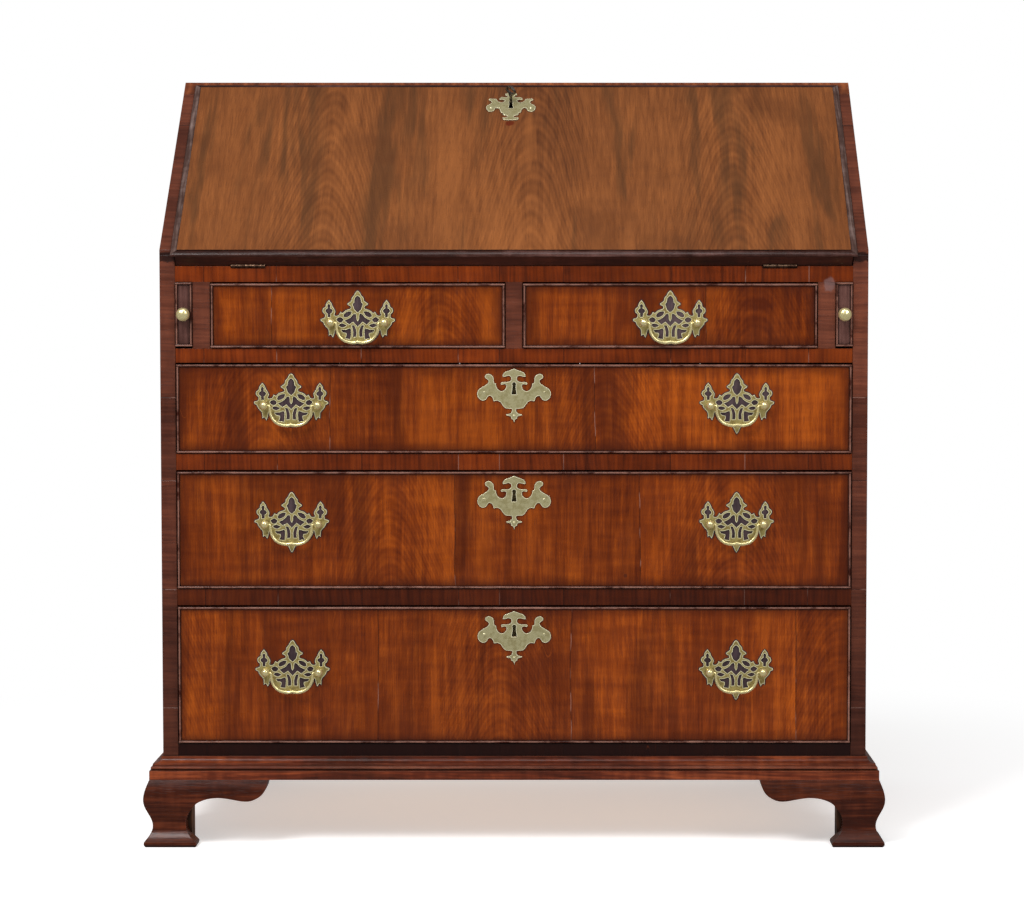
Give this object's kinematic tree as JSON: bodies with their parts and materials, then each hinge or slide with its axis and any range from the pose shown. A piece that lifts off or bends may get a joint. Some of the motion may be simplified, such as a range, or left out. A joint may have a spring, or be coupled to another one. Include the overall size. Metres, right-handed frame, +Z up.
{
  "type": "secretary desk",
  "caption": "Slope-front bureau with a hinged writing fall, pull-out lopers, graduated drawers with brass bail handles, a pigeonhole interior and ogee bracket feet.",
  "frame": {"origin": "on the floor under the middle of the desk's bounding box", "axes": "+Z up, the drawers and fall face -Y, +X to the right seen from the front"},
  "size_m": [1.0138, 0.5494, 1.065],
  "materials": {
    "case_mahogany": "waxed crossbanded veneer, worn at the arrises",
    "drawer_mahogany": "waxed figured veneer",
    "fall_mahogany": "waxed, faded, dark streaks",
    "moulding_mahogany": "dark waxed solid",
    "pine": "dry oxidised softwood",
    "oak": "dry quartered lining timber",
    "brass": "lacquered antique brass",
    "lock_brass": "dull brass",
    "iron": "dark worn iron"
  },
  "bodies": {
    "case": {"side_left": "case_mahogany", "side_right": "case_mahogany", "top_board": "case_mahogany", "bottom_board": "case_mahogany", "back_boards": "pine", "top_rail": "case_mahogany", "writing_board": "case_mahogany", "drawer_rails": "case_mahogany", "uprights": "case_mahogany", "dust_boards": "pine", "drawer_runners": "pine", "base_moulding": "moulding_mahogany", "foot_front_left": "moulding_mahogany", "foot_front_right": "moulding_mahogany", "foot_back_left": "moulding_mahogany", "foot_back_right": "moulding_mahogany", "case_hinge_leaves": "brass", "interior_case": "case_mahogany", "interior_valances": "case_mahogany"},
    "fall": {"fall_board": "fall_mahogany", "fall_moulding": "moulding_mahogany", "fall_hinge_leaves": "brass", "fall_escutcheon": "brass", "fall_lock": "lock_brass"},
    "key": {"key": "iron"},
    "fall_lock_bolt": {"fall_lock_bolt": "lock_brass"},
    "loper_left": {"loper_left": "drawer_mahogany", "loper_knob_left": "brass"},
    "loper_right": {"loper_right": "drawer_mahogany", "loper_knob_right": "brass"},
    "drawer_short_left": {"short_left_front": "drawer_mahogany", "short_left_box": "oak", "short_left_mount": "brass"},
    "short_left_bail": {"short_left_bail": "brass"},
    "drawer_short_right": {"short_right_front": "drawer_mahogany", "short_right_box": "oak", "short_right_mount": "brass"},
    "short_right_bail": {"short_right_bail": "brass"},
    "drawer_long_upper": {"long_upper_front": "drawer_mahogany", "long_upper_box": "oak", "long_upper_mounts": "brass", "long_upper_lock": "brass"},
    "long_upper_bail_left": {"long_upper_bail_left": "brass"},
    "long_upper_bail_right": {"long_upper_bail_right": "brass"},
    "drawer_long_middle": {"long_middle_front": "drawer_mahogany", "long_middle_box": "oak", "long_middle_mounts": "brass", "long_middle_lock": "brass"},
    "long_middle_bail_left": {"long_middle_bail_left": "brass"},
    "long_middle_bail_right": {"long_middle_bail_right": "brass"},
    "drawer_long_lower": {"long_lower_front": "drawer_mahogany", "long_lower_box": "oak", "long_lower_mounts": "brass", "long_lower_lock": "brass"},
    "long_lower_bail_left": {"long_lower_bail_left": "brass"},
    "long_lower_bail_right": {"long_lower_bail_right": "brass"},
    "inner_drawer_1": {"inner_drawer_1": "drawer_mahogany"},
    "inner_drawer_2": {"inner_drawer_2": "drawer_mahogany"},
    "inner_drawer_3": {"inner_drawer_3": "drawer_mahogany"},
    "inner_drawer_4": {"inner_drawer_4": "drawer_mahogany"}
  },
  "joints": [
    {"name": "fall_hinge", "type": "hinge", "parent": "case", "child": "fall", "pos_m": [0, -0.2503, 0.794], "axis": [1, 0, 0], "range_deg": [0, 137]},
    {"name": "key_turn", "type": "hinge", "parent": "fall", "child": "key", "pos_m": [-0.008, -0.02479, 1.03164], "axis": [0, -0.682, 0.7314], "range_deg": [0, 90]},
    {"name": "bolt_throw", "type": "slide", "parent": "fall", "child": "fall_lock_bolt", "axis": [0, 0.7314, 0.682], "range_m": [0, 0.008]},
    {"name": "loper_left_slide", "type": "slide", "parent": "case", "child": "loper_left", "axis": [0, -1, 0], "range_m": [0, 0.3]},
    {"name": "loper_right_slide", "type": "slide", "parent": "case", "child": "loper_right", "axis": [0, -1, 0], "range_m": [0, 0.3]},
    {"name": "short_left_slide", "type": "slide", "parent": "case", "child": "drawer_short_left", "axis": [0, -1, 0], "range_m": [0, 0.3]},
    {"name": "short_left_bail_swing", "type": "hinge", "parent": "drawer_short_left", "child": "short_left_bail", "pos_m": [-0.21275, -0.2613, 0.717], "axis": [-1, 0, 0], "range_deg": [0, 85]},
    {"name": "short_right_slide", "type": "slide", "parent": "case", "child": "drawer_short_right", "axis": [0, -1, 0], "range_m": [0, 0.3]},
    {"name": "short_right_bail_swing", "type": "hinge", "parent": "drawer_short_right", "child": "short_right_bail", "pos_m": [0.21275, -0.2613, 0.717], "axis": [-1, 0, 0], "range_deg": [0, 85]},
    {"name": "long_upper_slide", "type": "slide", "parent": "case", "child": "drawer_long_upper", "axis": [0, -1, 0], "range_m": [0, 0.4]},
    {"name": "long_upper_bail_left_swing", "type": "hinge", "parent": "drawer_long_upper", "child": "long_upper_bail_left", "pos_m": [-0.304, -0.2613, 0.6043], "axis": [-1, 0, 0], "range_deg": [0, 85]},
    {"name": "long_upper_bail_right_swing", "type": "hinge", "parent": "drawer_long_upper", "child": "long_upper_bail_right", "pos_m": [0.304, -0.2613, 0.6043], "axis": [-1, 0, 0], "range_deg": [0, 85]},
    {"name": "long_middle_slide", "type": "slide", "parent": "case", "child": "drawer_long_middle", "axis": [0, -1, 0], "range_m": [0, 0.4]},
    {"name": "long_middle_bail_left_swing", "type": "hinge", "parent": "drawer_long_middle", "child": "long_middle_bail_left", "pos_m": [-0.304, -0.2613, 0.4422], "axis": [-1, 0, 0], "range_deg": [0, 85]},
    {"name": "long_middle_bail_right_swing", "type": "hinge", "parent": "drawer_long_middle", "child": "long_middle_bail_right", "pos_m": [0.304, -0.2613, 0.4422], "axis": [-1, 0, 0], "range_deg": [0, 85]},
    {"name": "long_lower_slide", "type": "slide", "parent": "case", "child": "drawer_long_lower", "axis": [0, -1, 0], "range_m": [0, 0.4]},
    {"name": "long_lower_bail_left_swing", "type": "hinge", "parent": "drawer_long_lower", "child": "long_lower_bail_left", "pos_m": [-0.304, -0.2613, 0.2389], "axis": [-1, 0, 0], "range_deg": [0, 85]},
    {"name": "long_lower_bail_right_swing", "type": "hinge", "parent": "drawer_long_lower", "child": "long_lower_bail_right", "pos_m": [0.304, -0.2613, 0.2389], "axis": [-1, 0, 0], "range_deg": [0, 85]},
    {"name": "inner_drawer_1_slide", "type": "slide", "parent": "case", "child": "inner_drawer_1", "axis": [0, -1, 0], "range_m": [0, 0.15]},
    {"name": "inner_drawer_2_slide", "type": "slide", "parent": "case", "child": "inner_drawer_2", "axis": [0, -1, 0], "range_m": [0, 0.15]},
    {"name": "inner_drawer_3_slide", "type": "slide", "parent": "case", "child": "inner_drawer_3", "axis": [0, -1, 0], "range_m": [0, 0.15]},
    {"name": "inner_drawer_4_slide", "type": "slide", "parent": "case", "child": "inner_drawer_4", "axis": [0, -1, 0], "range_m": [0, 0.15]}
  ],
  "couplings": [
    {"joint": "bolt_throw", "follows": "key_turn", "m_per_rad": 0.00509}
  ]
}
